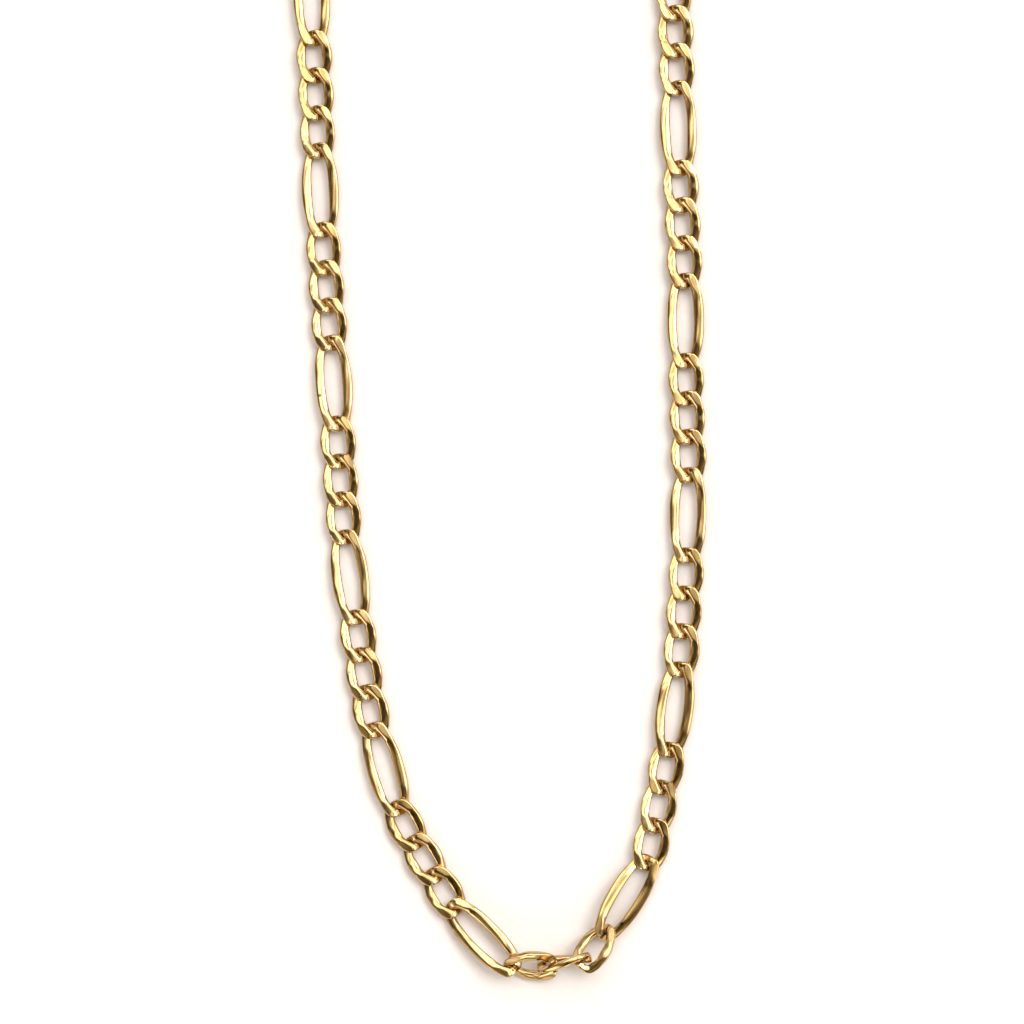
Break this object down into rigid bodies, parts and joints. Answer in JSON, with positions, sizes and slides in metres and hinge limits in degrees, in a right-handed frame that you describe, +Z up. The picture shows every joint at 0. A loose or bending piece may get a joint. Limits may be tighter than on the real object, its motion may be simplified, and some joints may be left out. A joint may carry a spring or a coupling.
{
  "type": "figaro chain necklace",
  "caption": "Closed figaro neck chain of short and long flattened links that hook into each other, lying flat as a narrow loop, joined by a plain clasp.",
  "frame": {"origin": "middle of the chain's box, on the surface that it lies on", "axes": "+X across the loop to the right, +Y along the loop from the bend to the clasp, +Z up from the surface"},
  "size_m": [0.0434, 0.212, 0.0034],
  "materials": {
    "gold": "polished"
  },
  "bodies": {
    "root": {"left_chain": "gold", "right_chain": "gold", "clasp": "gold"}
  },
  "joints": []
}
